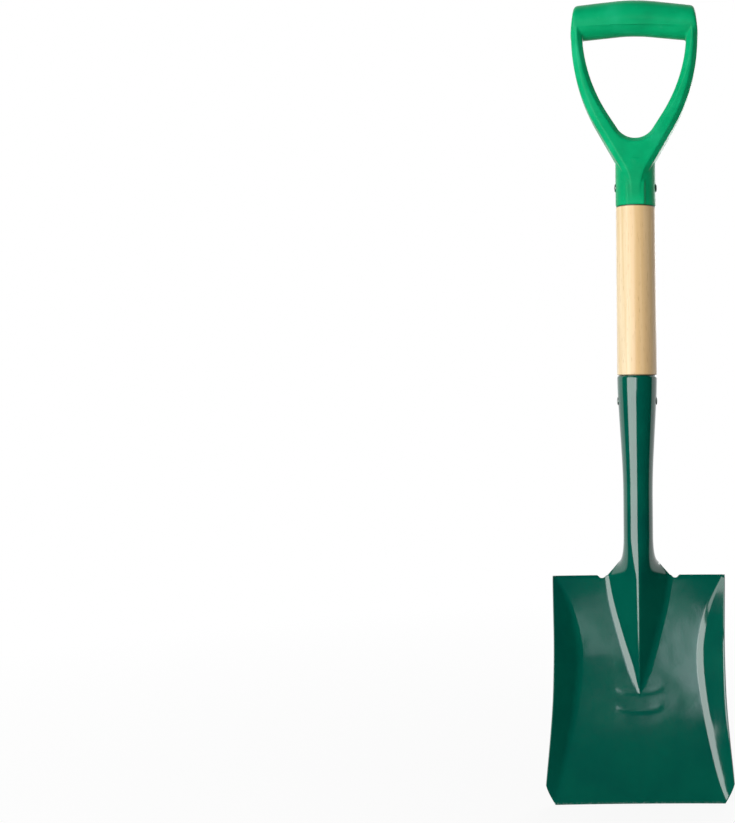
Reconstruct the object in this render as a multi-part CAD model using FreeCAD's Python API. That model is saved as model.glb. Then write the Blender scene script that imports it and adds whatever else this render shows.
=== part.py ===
import FreeCAD, Part
import math
import os

# Short square-mouth garden spade, all sizes in millimetres.
# The frame stands the spade up: +Z runs up the shaft, the hollow face of the blade looks
# towards -Y, and the origin is the middle of the cutting edge.

V = FreeCAD.Vector

# Overall sizes
overall_length = 700.0
sheet = 1.5

# Blade: a pressed tray that leans back from the cutting edge
blade_height = 191.0
blade_lift = 12.0
blade_top_half_width = 76.2
crease_radius = 9.0
floor_dish = 1.6
side_wall_rise = 14.0
corner_inset = 8.0
corner_height = 18.0
corner_bow = 1.4
# Stations up the blade, as shares of its height, with what each one holds there
blade_station_shares = (0.0, 0.105, 0.29, 0.455, 0.60, 0.715, 0.865, 1.0)
rim_half_width_shares = (1.076, 1.054, 1.007, 0.976, 0.967, 0.968, 0.983, 1.0)
crease_half_width_shares = (0.985, 0.904, 0.803, 0.735, 0.700, 0.716, 0.808, 0.975)
wall_rise_shares = (0.08, 0.34, 0.70, 0.91, 1.0, 0.94, 0.58, 0.05)
corner_width_share = 1.066
floor_arc_share = 0.9

# Relief notches beside the foot of the socket
notch_width = 7.6
notch_depth = 2.4
notch_gap = 0.9

# Frog: the raised ridge that carries the socket's hollow down into the blade
frog_half_width = 28.0
frog_rise = 20.5
frog_crest_radius = 6.0
frog_tip_share = 0.48
frog_tip_rise = 0.25
frog_hollow_depth = 3.0
# Stations up the frog, as shares of its length, with half width and crest radius there
frog_station_shares = (0.0, 0.25, 0.5, 0.77, 1.0)
frog_width_shares = (0.036, 0.325, 0.607, 0.864, 1.0)
frog_crest_shares = (0.13, 0.35, 0.5, 0.65, 1.0)
hollow_crest_share = 0.5
valley_radius = 4.0

# Flare between the frog and the neck of the socket: stations, half widths, and how much
# of the frog's straight-sided section each one keeps
flare_length = 35.0
flare_station_shares = (0.2, 0.49, 0.75)
flare_width_shares = (0.577, 0.087, 0.003)
flare_open_shares = (0.72, 0.30, 0.06)
flare_gable_share = 0.5
flare_crest_share = 0.2
throat_half_width = 22.5
throat_below_neck = 14.5
throat_bow = 3.2

# Socket: the sheet rolled round the shaft, closed by a seam at the back
neck_diameter = 26.2
neck_length = 53.0
taper_length = 73.0
taper_start_radius = 700.0
shoulder_diameter = 34.6
socket_rim_length = 16.4
socket_diameter = 35.4
seam_gap = 1.0

# Shaft
shaft_diameter = 35.0
shaft_fit = 0.3
shaft_foot_below_neck = 22.0
shaft_foot_diameter = 20.4
spigot_diameter = 28.0
spigot_length = 34.0

# Grip: collar, yoke, two arms and the bar
collar_diameter = 35.4
collar_length = 42.0
spigot_fit = 0.2
spigot_end_gap = 2.0
bar_diameter = 31.0
bar_bend_radius = 160.0
bar_end_slope = 6.0
bar_end_bevel = 1.8
grip_half_width = 55.6
grip_height = 182.3
grip_edge_bevel = 3.6
# Front outline of land, yoke and arms: narrow sides, a slope, and upright outer sides
land_half_width = 8.2
land_bend_height = 23.8
land_bend_radius = 40.0
yoke_slope = 60.0
arm_bend_radius = 160.0
# Depth from front to back: the land stands proud of the collar, then the faces fall back to
# the arms and rise again towards the bar
land_proud = 0.5
land_length = 38.3
yoke_length = 42.0
arm_half_depth = 12.5
arm_rise_start = 27.5
arm_rise = 2.5
face_bend_radius = 150.0
# The bar's end is trimmed to a curve through three half widths, then bevelled
bar_end_low_share = 0.99
bar_end_mid_share = 0.995
bar_end_high_share = 0.85

# Hand opening: a round crotch between two slopes that turn up into the arms
opening_half_width = 46.0
opening_height = 92.0
opening_slope = 57.5
opening_crotch_radius = 18.2
opening_side_radius = 140.0

# Rivets, both driven across the tool from side to side
rivet_diameter = 5.0
rivet_hole_fit = 0.1
rivet_head_diameter = 7.4
rivet_head_sunk = 0.5
rivet_seat_fit = 0.1
rivet_crown_share = 0.6
grip_rivet_head_height = 1.6
grip_rivet_tail_height = 1.2
socket_rivet_head_height = 0.9
socket_rivet_below_rim = 22.0
grip_rivet_above_rim = 16.8

# How far a cutting solid runs past what it cuts, and the least rise of a climbing edge
overrun = 10.0
edge_tolerance = 0.01

# Worked-out places
lift_slope = math.tan(math.radians(blade_lift))
blade_top_y = blade_height * lift_slope - floor_dish
neck_radius = neck_diameter / 2
shoulder_radius = shoulder_diameter / 2
socket_radius = socket_diameter / 2
neck_height = blade_height + flare_length
throat_top = neck_height - throat_below_neck
taper_start = neck_height + neck_length
shoulder_height = taper_start + taper_length
socket_top = shoulder_height + socket_rim_length
shaft_y = blade_top_y - frog_rise + neck_radius + sheet / 4
frog_tip = blade_height * frog_tip_share
grip_rim = overall_length - grip_height
bar_radius = bar_diameter / 2
bar_mid = overall_length - bar_radius
bar_slope = math.radians(bar_end_slope)
bar_bend_half = bar_bend_radius * math.sin(bar_slope)
bar_bend_drop = bar_bend_radius * (1 - math.cos(bar_slope))
bar_ends = bar_mid - bar_bend_drop - (grip_half_width - bar_bend_half) * math.tan(bar_slope)
collar_radius = collar_diameter / 2
shaft_radius = shaft_diameter / 2
spigot_radius = spigot_diameter / 2
shaft_foot_height = neck_height - shaft_foot_below_neck
opening_crotch = bar_mid - bar_radius - opening_height
socket_rivet_height = socket_top - socket_rivet_below_rim
grip_rivet_height = grip_rim + grip_rivet_above_rim


def floor_y(height):
    """Front of the floor beside the creases at a height: it leans back as it rises."""
    return height * lift_slope - floor_dish


def mix(low, high, share):
    return low + (high - low) * share


def unit(vector):
    return V(vector).normalize()


def fillet_path(corners, radii):
    """Lines through the corners with a tangent arc at each inner one, as a list of edges."""
    edges = []
    start = corners[0]
    for before, corner, after, radius in zip(corners, corners[1:], corners[2:], radii):
        to_before = unit(before - corner)
        to_after = unit(after - corner)
        half = to_before.getAngle(to_after) / 2
        setback = radius / math.tan(half)
        first = corner + to_before * setback
        last = corner + to_after * setback
        bisector = unit(to_before + to_after)
        crown = corner + bisector * (radius / math.sin(half) - radius)
        edges.append(Part.LineSegment(start, first).toShape())
        edges.append(Part.Arc(first, crown, last).toShape())
        start = last
    edges.append(Part.LineSegment(start, corners[-1]).toShape())
    return edges


def offset_corners(corners, distance):
    """The same path moved sideways in its plane, corner by corner along the bisectors."""
    normals = []
    for first, last in zip(corners, corners[1:]):
        along = unit(last - first)
        normals.append(V(-along.y, along.x, 0))
    moved = [corners[0] + normals[0] * distance]
    for corner, one, two in zip(corners[1:], normals, normals[1:]):
        both = unit(one + two)
        moved.append(corner + both * (distance / both.dot(one)))
    moved.append(corners[-1] + normals[-1] * distance)
    return moved


def tray_section(index):
    """Closed outline of the sheet across the blade: wall, floor and wall, one sheet thick."""
    height = blade_height * blade_station_shares[index]
    rim = blade_top_half_width * rim_half_width_shares[index]
    crease = blade_top_half_width * crease_half_width_shares[index]
    rise = side_wall_rise * wall_rise_shares[index]
    front = floor_y(height)
    corners = [
        V(-rim, front - rise, height),
        V(-crease, front, height),
        V(0, front + floor_dish, height),
        V(crease, front, height),
        V(rim, front - rise, height),
    ]
    back = offset_corners(corners, sheet)
    lean = math.atan2(floor_dish, crease)
    arc_radius = floor_arc_share * crease / math.tan(lean) / 2
    wall_room = (rim - crease) / 2
    bend = min(crease_radius, wall_room / math.tan(math.atan2(rise, rim - crease) / 2 + lean))
    front_edges = fillet_path(corners, (bend, arc_radius, bend))
    back_edges = fillet_path(back, (bend + sheet, arc_radius + sheet, bend + sheet))
    ends = [
        Part.LineSegment(corners[-1], back[-1]).toShape(),
        Part.LineSegment(back[0], corners[0]).toShape(),
    ]
    return Part.Wire(Part.__sortEdges__(front_edges + back_edges + ends))


def tray():
    """The blade's floor and turned-up sides, lofted through its sections."""
    sections = [tray_section(i) for i in range(len(blade_station_shares))]
    return Part.makeLoft(sections, True, True)


def arc_on_tangent(start, tangent, end):
    """The arc that leaves start along tangent and ends at end."""
    chord = end - start
    turn = unit(chord).getAngle(unit(tangent))
    away = unit(tangent - unit(chord) * unit(chord).dot(tangent))
    crown = (start + end) / 2 + away * (chord.Length / 2 * math.tan(turn / 2))
    return Part.Arc(start, crown, end).toShape()


def ring(height, centre, half_width, front, back, gable):
    """Closed section of the flare and neck: two flanks, a crest and a rounded back.

    At gable 0 the front is part of a circle, and towards 1 its flanks run straight.
    """
    round_crest = math.sqrt(1 - flare_crest_share ** 2)
    steep_crest = 2 * (1 - flare_crest_share) / (2 - flare_crest_share)
    crest_reach = front * mix(round_crest, steep_crest, gable)
    left_foot = V(-half_width, centre, height)
    right_foot = V(half_width, centre, height)
    left_crest = V(-half_width * flare_crest_share, centre - crest_reach, height)
    right_crest = V(half_width * flare_crest_share, centre - crest_reach, height)
    crest = Part.Arc(left_crest, V(0, centre - front, height), right_crest)
    downhill = V(*crest.tangent(crest.LastParameter)[0])
    left_flank = arc_on_tangent(left_crest, V(-downhill.x, downhill.y, 0), left_foot)
    right_flank = arc_on_tangent(right_crest, downhill, right_foot)
    base = arc(right_foot, V(0, centre + back, height), left_foot)
    return Part.Wire(Part.__sortEdges__([left_flank, crest.toShape(), right_flank, base]))


def gable_section(height, base_y, half_width, apex, radius):
    """Closed section of the frog: two straight flanks, a rounded crest and a flat base."""
    corners = [
        V(-half_width, base_y, height),
        V(0, base_y - apex, height),
        V(half_width, base_y, height),
    ]
    edges = fillet_path(corners, (radius,))
    return Part.Wire(Part.__sortEdges__(edges + [line(corners[-1], corners[0])]))


def frog_sections():
    """Sections up the frog: those of its outside, and those of the hollow behind it."""
    outside = []
    hollow = []
    length = blade_height - frog_tip
    for share, width, crest in zip(frog_station_shares, frog_width_shares, frog_crest_shares):
        height = frog_tip + length * share
        base_y = floor_y(height) + floor_dish
        half_width = frog_half_width * width
        front = mix(frog_tip_rise, frog_rise + floor_dish, share)
        radius = frog_crest_radius * crest
        apex = front + radius * (math.hypot(front, half_width) / half_width - 1)
        outside.append(gable_section(height, base_y, half_width, apex, radius))
        half_angle = math.atan2(half_width, apex)
        inner_apex = apex - sheet / math.sin(half_angle) + frog_hollow_depth
        inner_half_width = inner_apex * math.tan(half_angle)
        inner_base = base_y + frog_hollow_depth
        inner_radius = radius * hollow_crest_share
        hollow.append(gable_section(height, inner_base, inner_half_width, inner_apex, inner_radius))
    return outside, hollow


def flare_sections():
    """Sections of the flare up to the neck, outside and hollow, with one sheet between."""
    outside = []
    hollow = []
    length = neck_height - blade_height
    crest_y = blade_top_y - frog_rise
    shares = zip(
        flare_station_shares + (1.0,),
        flare_width_shares + (0.0,),
        flare_open_shares + (0.0,),
    )
    for share, width, is_open in shares:
        height = blade_height + length * share
        centre = mix(shaft_y, blade_top_y + floor_dish, is_open)
        half_width = mix(neck_radius, frog_half_width, width)
        front = centre - mix(shaft_y - neck_radius, crest_y, is_open)
        back = mix(neck_radius, 0, is_open)
        gable = flare_gable_share * is_open
        outside.append(ring(height, centre, half_width, front, back, gable))
        steepness = math.atan2(front, half_width)
        side_wall = sheet * mix(1.0, math.tan(steepness / 2), is_open)
        front_wall = sheet * mix(1.0, 1 / math.cos(steepness) - 1, is_open)
        shift = sheet * is_open
        hollow.append(
            ring(
                height,
                centre + shift,
                half_width - side_wall,
                front - front_wall,
                back - sheet - shift,
                gable,
            )
        )
    return outside, hollow


def socket_radius_at(height):
    """Outer radius of the socket on its taper, or on its rim above the shoulder."""
    if height < shoulder_height:
        return mix(neck_radius, shoulder_radius, (height - taper_start) / taper_length)
    return mix(shoulder_radius, socket_radius, (height - shoulder_height) / socket_rim_length)


def socket_rivet_reach():
    """How far from the axis the socket's outside is where the socket rivet crosses it."""
    return socket_radius_at(socket_rivet_height)


def socket_side(inset, top):
    """Outline of the socket beside its axis, moved inwards: neck, taper and rim."""
    neck = V(neck_radius - inset, 0, neck_height)
    bend = V(neck_radius - inset, 0, taper_start)
    shoulder = V(shoulder_radius - inset, 0, shoulder_height)
    rim = V(socket_radius_at(top) - inset, 0, top)
    return fillet_path([neck, bend, shoulder], (taper_start_radius,)) + [line(shoulder, rim)]


def turned(edges):
    """An outline beside the Z axis turned into a solid about the shaft's axis."""
    face = Part.Face(Part.Wire(edges))
    solid = face.revolve(V(0, 0, 0), V(0, 0, 1), 360)
    solid.translate(V(0, shaft_y, 0))
    return solid


def tapered_core(inset, top):
    """The solid inside the socket's outline, from the neck up, moved inwards by inset."""
    top_centre = V(0, 0, top)
    foot_centre = V(0, 0, neck_height)
    closing = [
        line(V(socket_radius_at(top) - inset, 0, top), top_centre),
        line(top_centre, foot_centre),
        line(foot_centre, V(neck_radius - inset, 0, neck_height)),
    ]
    return turned(socket_side(inset, top) + closing)


def valleys(shape):
    """The two long edges in front where the frog's flanks meet the floor."""
    found = []
    for edge in shape.Edges:
        box = edge.BoundBox
        climbs = box.ZMin > frog_tip - frog_crest_radius and box.ZLength > frog_rise
        across = max(abs(box.XMin), abs(box.XMax))
        if climbs and frog_crest_radius < across < frog_half_width + notch_gap:
            found.append(edge)
    return found


def pressed_blade():
    """The tray with the frog pressed out of it and its two valleys rounded."""
    outside, hollow = frog_sections()
    body = tray().fuse(Part.makeLoft(outside, True)).removeSplitter()
    body = body.makeFillet(valley_radius, valleys(body))
    return body.cut(Part.makeLoft(hollow, True))


def blade():
    """Blade, frog and socket: one pressed sheet."""
    frog_outside, frog_hollow = frog_sections()
    flare_outside, flare_hollow = flare_sections()
    flare = Part.makeLoft(frog_outside[-1:] + flare_outside, True, True)
    sheet_body = pressed_blade().fuse([flare, tapered_core(0, socket_top)])
    hollows = [
        Part.makeLoft(frog_hollow[-1:] + flare_hollow, True, True),
        tapered_core(sheet, socket_top + overrun),
    ]
    cutters = [throat_tool(), seam_tool(), rivet_hole(socket_rivet_height)]
    for side in (1, -1):
        cutters.append(corner_tool(side))
        cutters.append(notch_tool(side))
        cutters.append(rivet_seat(socket_rivet_height, socket_rivet_reach(), side))
    for tool in hollows + cutters:
        sheet_body = sheet_body.cut(tool)
    return sheet_body.removeSplitter()


def prism(edges, depth_from, depth_to):
    """A closed outline in the XZ plane, pushed through from one depth to the other."""
    face = Part.Face(Part.Wire(Part.__sortEdges__(edges)))
    face.translate(V(0, depth_from, 0))
    return face.extrude(V(0, depth_to - depth_from, 0))


def line(start, end):
    return Part.LineSegment(start, end).toShape()


def arc(start, middle, end):
    return Part.Arc(start, middle, end).toShape()


def corner_tool(side):
    """What lies outside the clipped, slightly bowed lower corner of the blade."""
    wide = blade_top_half_width * corner_width_share
    inset = wide - corner_inset
    top = V(side * wide, 0, corner_height)
    crown = V(side * ((wide + inset) / 2 + corner_bow), 0, corner_height / 2)
    bottom = V(side * inset, 0, 0)
    out_x = side * (wide + overrun)
    below = V(bottom.x, 0, -overrun)
    edges = [
        arc(top, crown, bottom),
        line(bottom, below),
        line(below, V(out_x, 0, -overrun)),
        line(V(out_x, 0, -overrun), V(out_x, 0, corner_height)),
        line(V(out_x, 0, corner_height), top),
    ]
    return prism(edges, -side_wall_rise - overrun, corner_height + overrun)


def notch_tool(side):
    """A shallow round bite in the top edge, just outside the foot of the socket."""
    half = notch_width / 2
    radius = (half * half + notch_depth * notch_depth) / (2 * notch_depth)
    centre_x = side * (frog_half_width + notch_gap + half)
    centre = V(centre_x, blade_top_y - overrun, blade_height - notch_depth + radius)
    return Part.makeCylinder(radius, 2 * overrun + sheet, centre, V(0, 1, 0))


def throat_tool():
    """The arched mouth at the back of the flare, where the rolled edges part."""
    foot = blade_height - notch_depth
    top = V(0, 0, throat_top)
    edges = [line(V(throat_half_width, 0, foot), V(-throat_half_width, 0, foot))]
    for side in (1, -1):
        start = V(side * throat_half_width, 0, foot)
        inwards = V(-side, 0, -1).normalize() * throat_bow
        edges.append(arc(start, (start + top) / 2 + inwards, top))
    return prism(edges, blade_top_y, blade_top_y + socket_radius + overrun)


def seam_tool():
    """The slot where the two rolled edges of the socket meet at the back."""
    start = mix(blade_height, neck_height, flare_station_shares[0])
    length = socket_top - start + overrun
    corner = V(-seam_gap / 2, shaft_y, start)
    return Part.makeBox(seam_gap, socket_radius + overrun, length, corner)


def rivet_hole(height):
    """A round hole from side to side through the middle of the shaft."""
    start = V(-collar_radius - overrun, shaft_y, height)
    length = 2 * (collar_radius + overrun)
    return Part.makeCylinder(rivet_diameter / 2 + rivet_hole_fit, length, start, V(1, 0, 0))


def rivet_seat(height, reach, side):
    """A flat round seat for a rivet head, sunk a little into the side that carries it."""
    start = V(side * (reach - rivet_head_sunk), shaft_y, height)
    radius = rivet_head_diameter / 2 + rivet_seat_fit
    return Part.makeCylinder(radius, overrun, start, V(side, 0, 0))


def shaft():
    """The turned wooden shaft: tapered foot in the socket, straight middle, spigot on top."""
    inset = sheet + shaft_fit
    foot = shaft_foot_diameter / 2
    corners = [
        V(foot, 0, shaft_foot_height),
        V(neck_radius - inset, 0, neck_height),
        V(neck_radius - inset, 0, taper_start),
        V(socket_radius - inset, 0, socket_top),
        V(shaft_radius, 0, socket_top),
        V(shaft_radius, 0, grip_rim),
        V(spigot_radius, 0, grip_rim),
        V(spigot_radius, 0, grip_rim + spigot_length),
        V(0, 0, grip_rim + spigot_length),
        V(0, 0, shaft_foot_height),
    ]
    wood = turned([line(start, end) for start, end in zip(corners, corners[1:] + corners[:1])])
    return wood.cut(rivet_hole(socket_rivet_height)).cut(rivet_hole(grip_rivet_height))


def mirrored(corners):
    """The same corners on the other side of the Z axis, in reverse order."""
    return [V(-corner.x, corner.y, corner.z) for corner in reversed(corners)]


def arms_outline():
    """Seen from the front: the land's sides, the yoke's slopes and the arms' outer sides."""
    bend = grip_rim + land_bend_height
    shoulder = bend + (grip_half_width - land_half_width) * math.tan(math.radians(yoke_slope))
    right = [
        V(land_half_width, 0, grip_rim),
        V(land_half_width, 0, bend),
        V(grip_half_width, 0, shoulder),
        V(grip_half_width, 0, bar_ends),
    ]
    radii = (land_bend_radius, arm_bend_radius)
    sides = fillet_path(right, radii) + fillet_path(mirrored(right), radii[::-1])
    closing = [line(right[-1], mirrored(right)[0]), line(mirrored(right)[-1], right[0])]
    return sides + closing


def arms_profile():
    """Seen from the side: the faces of the land, the yoke and the arms about the axis."""
    land = collar_radius + land_proud
    front = [
        V(0, land, grip_rim),
        V(0, land, grip_rim + land_length),
        V(0, arm_half_depth, grip_rim + land_length + yoke_length),
        V(0, arm_half_depth, bar_ends - arm_rise_start),
        V(0, arm_half_depth + arm_rise, bar_ends),
    ]
    back = [V(0, -corner.y, corner.z) for corner in reversed(front)]
    radii = (face_bend_radius, face_bend_radius, face_bend_radius)
    faces = fillet_path(front, radii) + fillet_path(back, radii)
    closing = [line(front[-1], back[0]), line(back[-1], front[0])]
    face = Part.Face(Part.Wire(Part.__sortEdges__(faces + closing)))
    face.translate(V(-grip_half_width - overrun, shaft_y, 0))
    return face.extrude(V(2 * (grip_half_width + overrun), 0, 0))


def opening_tool():
    """The hand opening: a round crotch, curved sides, and a top lost inside the bar."""
    slope = math.radians(opening_slope)
    apex = opening_crotch + opening_crotch_radius - opening_crotch_radius / math.cos(slope)
    bend = apex + opening_half_width * math.tan(slope)
    top = bar_ends + overrun
    corners = [
        V(-opening_half_width, 0, top),
        V(-opening_half_width, 0, bend),
        V(0, 0, apex),
        V(opening_half_width, 0, bend),
        V(opening_half_width, 0, top),
    ]
    radii = (opening_side_radius, opening_crotch_radius, opening_side_radius)
    edges = fillet_path(corners, radii) + [line(corners[-1], corners[0])]
    reach = collar_radius + overrun
    return prism(edges, shaft_y - reach, shaft_y + reach)


def bar():
    """The hand bar: round, bent a little in the middle so that both ends slope down."""
    pivot = V(0, shaft_y, bar_mid - bar_bend_radius)
    circle = Part.makeCircle(bar_radius, V(0, shaft_y, bar_mid), V(1, 0, 0))
    disc = Part.Face(Part.Wire(circle))
    disc.rotate(pivot, V(0, 1, 0), -bar_end_slope)
    stretches = [disc.revolve(pivot, V(0, 1, 0), 2 * bar_end_slope)]
    length = (grip_half_width + overrun - bar_bend_half) / math.cos(bar_slope)
    for side in (1, -1):
        start = V(side * bar_bend_half, shaft_y, bar_mid - bar_bend_drop)
        along = V(side * math.cos(bar_slope), 0, -math.sin(bar_slope))
        stretches.append(Part.makeCylinder(bar_radius, length, start, along))
    swept = stretches[0].fuse(stretches[1:])
    low = bar_ends - bar_radius - overrun
    high = overall_length + overrun
    edges = []
    for side in (1, -1):
        wide = side * grip_half_width
        edges.append(
            arc(
                V(wide * bar_end_low_share, 0, low),
                V(wide * bar_end_mid_share, 0, bar_ends),
                V(wide * bar_end_high_share, 0, high),
            )
        )
    for share, height in ((bar_end_low_share, low), (bar_end_high_share, high)):
        wide = grip_half_width * share
        edges.append(line(V(-wide, 0, height), V(wide, 0, height)))
    trimmed = swept.common(prism(edges, shaft_y - bar_diameter, shaft_y + bar_diameter))
    inside = bar_end_high_share * grip_half_width - bar_end_bevel
    rims = [edge for edge in trimmed.Edges if abs(edge.CenterOfMass.x) > inside]
    return trimmed.makeChamfer(bar_end_bevel, rims)


def spigot_bore():
    """The blind hole up the collar, a little wider and deeper than the spigot."""
    radius = spigot_radius + spigot_fit
    length = spigot_length + spigot_end_gap
    return Part.makeCylinder(radius, length, V(0, shaft_y, grip_rim))


def opened_arms():
    """Land, yoke and arms with the hand opening between them, all edges bevelled."""
    reach = collar_radius + overrun
    arms = prism(arms_outline(), shaft_y - reach, shaft_y + reach).common(arms_profile())
    arms = arms.cut(opening_tool())
    climbing = [edge for edge in arms.Edges if edge.BoundBox.ZLength > edge_tolerance]
    return arms.makeChamfer(grip_edge_bevel, climbing)


def d_grip():
    """The moulded grip: collar, yoke, two arms and the bar in one piece."""
    arms = opened_arms()
    collar = Part.makeCylinder(collar_radius, collar_length, V(0, shaft_y, grip_rim))
    body = arms.fuse([collar, bar()])
    seats = [rivet_seat(grip_rivet_height, collar_radius, side) for side in (1, -1)]
    for tool in [spigot_bore(), rivet_hole(grip_rivet_height)] + seats:
        body = body.cut(tool)
    return body.removeSplitter()


def head_outline(reach, rise):
    """Outline of a rivet head's top beside the X axis: a bevelled rim round a flat crown."""
    rim = rivet_head_diameter / 2
    crown = reach + rise
    return [V(reach, rim, 0), V(crown, rim * rivet_crown_share, 0), V(crown, 0, 0)]


def rivet(height, reach, right_rise, left_rise):
    """A rivet from side to side: a shank between two bevelled heads sunk into their seats."""
    seat = reach - rivet_head_sunk
    rim = rivet_head_diameter / 2
    shank = rivet_diameter / 2
    right = head_outline(reach, right_rise)
    left = head_outline(-reach, -left_rise)
    inner = [
        V(-seat, rim, 0),
        V(-seat, shank, 0),
        V(seat, shank, 0),
        V(seat, rim, 0),
    ]
    corners = left[::-1] + inner + right
    outline = [line(start, end) for start, end in zip(corners, corners[1:] + corners[:1])]
    body = Part.Face(Part.Wire(outline)).revolve(V(0, 0, 0), V(1, 0, 0), 360)
    body.translate(V(0, shaft_y, height))
    return body


def main():
    """Build every piece and write its STEP file."""
    pieces = {
        "blade": blade(),
        "shaft": shaft(),
        "d_grip": d_grip(),
        "socket_rivet": rivet(
            socket_rivet_height,
            socket_rivet_reach(),
            socket_rivet_head_height,
            socket_rivet_head_height,
        ),
        "grip_rivet": rivet(
            grip_rivet_height,
            collar_radius,
            grip_rivet_head_height,
            grip_rivet_tail_height,
        ),
    }
    os.makedirs("parts", exist_ok=True)
    for name, shape in pieces.items():
        shape.exportStep("parts/" + name + ".step")


main()
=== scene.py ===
import logging
import math
from dataclasses import dataclass
from enum import Enum
from functools import partial
from typing import Callable, Sequence

import bpy
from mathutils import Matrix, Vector


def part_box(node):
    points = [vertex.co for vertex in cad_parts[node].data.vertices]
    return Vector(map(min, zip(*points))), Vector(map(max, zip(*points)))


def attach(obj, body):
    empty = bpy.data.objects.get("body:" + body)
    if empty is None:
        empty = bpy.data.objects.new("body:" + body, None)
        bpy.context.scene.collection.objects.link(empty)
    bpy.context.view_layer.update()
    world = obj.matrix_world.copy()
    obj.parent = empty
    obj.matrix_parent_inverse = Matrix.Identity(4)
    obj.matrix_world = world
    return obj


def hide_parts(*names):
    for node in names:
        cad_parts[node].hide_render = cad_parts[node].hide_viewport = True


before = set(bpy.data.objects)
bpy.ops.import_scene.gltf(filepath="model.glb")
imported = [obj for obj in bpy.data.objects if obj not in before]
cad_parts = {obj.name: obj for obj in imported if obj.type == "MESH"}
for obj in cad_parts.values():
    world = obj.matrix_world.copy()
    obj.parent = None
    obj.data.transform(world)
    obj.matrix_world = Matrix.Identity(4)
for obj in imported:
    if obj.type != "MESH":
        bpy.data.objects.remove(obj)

LOG = logging.getLogger("garden_spade")
MM = 0.001  # the classes hold millimetres, and the meshes are made in metres
BODY = "root"
LEAST_ARC_STEPS = 2

Pair = tuple[float, float]
Point = tuple[float, float, float]
Face = tuple[int, ...]
# Two ends of what comes in and the two ends that they become.
Span = tuple[float, float, float, float]
Socket = bpy.types.NodeSocket
Object = bpy.types.Object
Material = bpy.types.Material


class Detail(Enum):
    """How far apart the mesh lines of a surface stand, in millimetres."""

    FINE = 1.0
    QUICK = 2.2


class Slot(Enum):
    """The record's material slots."""

    ENAMEL = "blade_enamel"
    WOOD = "shaft_wood"
    PLASTIC = "grip_plastic"
    STEEL = "rivet_steel"


class HeadForm(Enum):
    """How a rivet's head ends."""

    DOMED = "domed"
    HOLLOW = "hollow"


def mix(low: float, high: float, share: float) -> float:
    """The value that lies share of the way from low to high."""
    return low + (high - low) * share


def ease(value: float) -> float:
    """A share held between 0 and 1 that starts and ends level."""
    share = min(max(value, 0.0), 1.0)
    return share * share * (3 - 2 * share)


def smooth_min(one: float, two: float, width: float) -> float:
    """The lower of two heights, rounded where they cross.

    Args:
        one: First height.
        two: Second height.
        width: Difference of the heights at which the rounding starts.

    Returns:
        The lower height, or a little less near the crossing.
    """
    share = min(max(0.5 + (two - one) / (2 * width), 0.0), 1.0)
    return mix(two, one, share) - width * share * (1 - share)


def through(stations: Sequence[float], values: Sequence[float], at: float) -> float:
    """A smooth curve through values held at rising stations.

    Args:
        stations: Places along the curve, rising.
        values: The value at each station.
        at: The place that is asked for.

    Returns:
        The value there, held at the ends.
    """
    if at <= stations[0]:
        return values[0]
    if at >= stations[-1]:
        return values[-1]
    last = len(stations) - 1
    i = max(k for k in range(last) if stations[k] <= at)
    span = stations[i + 1] - stations[i]
    slopes = []
    for k in (i, i + 1):
        before, after = max(k - 1, 0), min(k + 1, last)
        slopes.append((values[after] - values[before]) / (stations[after] - stations[before]))
    t = (at - stations[i]) / span
    start = (2 * t**3 - 3 * t**2 + 1) * values[i] + (t**3 - 2 * t**2 + t) * span * slopes[0]
    end = (3 * t**2 - 2 * t**3) * values[i + 1] + (t**3 - t**2) * span * slopes[1]
    return start + end


def rounded_path(corners: Sequence[Pair], radii: Sequence[float], step: float) -> list[Pair]:
    """Points along straight lines through corners, with an arc at each inner corner.

    Args:
        corners: Corners of the path, in order.
        radii: Radius of the arc at each inner corner.
        step: Greatest distance between two points of an arc.

    Returns:
        The points of the path.
    """
    points = [corners[0]]
    for before, corner, after, radius in zip(corners, corners[1:], corners[2:], radii):
        here = Vector(corner)
        back = (Vector(before) - here).normalized()
        on = (Vector(after) - here).normalized()
        half = back.angle(on) / 2
        centre = here + (back + on).normalized() * (radius / math.sin(half))
        start = here + back * (radius / math.tan(half)) - centre
        turn = math.pi - 2 * half
        side = 1 if back.x * on.y - back.y * on.x < 0 else -1
        count = max(LEAST_ARC_STEPS, math.ceil(turn * radius / step))
        for k in range(count + 1):
            angle = side * turn * k / count
            cos, sin = math.cos(angle), math.sin(angle)
            x = centre.x + start.x * cos - start.y * sin
            y = centre.y + start.x * sin + start.y * cos
            points.append((x, y))
    points.append(corners[-1])
    return points


def mirrored(right: Sequence[Pair]) -> list[Pair]:
    """An outline closed by its own mirror image at the left."""
    return list(right) + [(-x, z) for x, z in reversed(right)]


def spaced(start: float, end: float, step: float) -> list[float]:
    """Even places from one to another, both included.

    Args:
        start: First place.
        end: Last place.
        step: Greatest distance between two of them.

    Returns:
        The places.
    """
    count = max(1, math.ceil(abs(end - start) / step))
    return [mix(start, end, k / count) for k in range(count + 1)]


def quarter_turn(steps: int) -> list[Pair]:
    """Sine and cosine at even angles from nothing to a quarter turn."""
    angles = [math.pi / 2 * k / steps for k in range(steps + 1)]
    return [(math.sin(angle), math.cos(angle)) for angle in angles]


def rounding(size: float, steps: int) -> list[Pair]:
    """How far the steps of a rounded edge stay inside it, on its one side and its other."""
    return [(size * (1 - sin), size * (1 - cos)) for sin, cos in quarter_turn(steps)]


def full_turn(around: int) -> list[Pair]:
    """Cosine and sine at even angles all the way round."""
    angles = [math.tau * k / around for k in range(around)]
    return [(math.cos(angle), math.sin(angle)) for angle in angles]


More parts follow.
